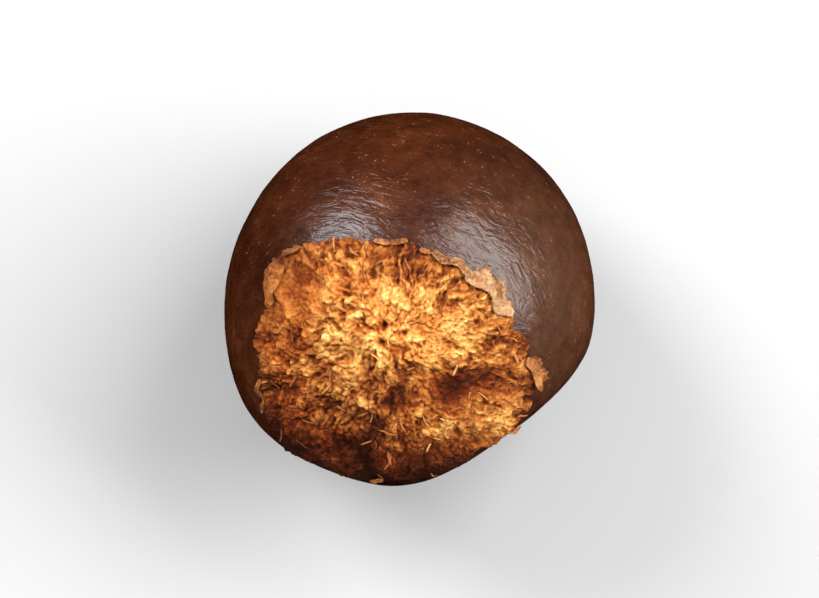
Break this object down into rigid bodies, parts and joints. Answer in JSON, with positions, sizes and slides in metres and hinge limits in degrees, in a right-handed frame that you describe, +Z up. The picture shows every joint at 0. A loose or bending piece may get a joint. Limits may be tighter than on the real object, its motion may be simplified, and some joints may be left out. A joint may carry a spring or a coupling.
{
  "type": "guarana nut",
  "caption": "Dried guarana seed: nearly round, with a glossy brown coat and a broad, rough tan scar with a torn edge, resting on a small flat spot.",
  "frame": {"origin": "on the resting surface, under the middle of the seed's bounding box", "axes": "+Z up from the resting surface, with the scar facing up and towards -Y"},
  "size_m": [0.0106, 0.0106, 0.0097],
  "materials": {
    "seed_coat": "smooth, glossy, dark red-brown seed coat with slow mottling and tiny pale specks",
    "hilum_scar": "matt, rough, golden to rust-brown crust of dried fibres"
  },
  "bodies": {
    "root": {"guarana_seed": "seed_coat"}
  },
  "joints": []
}
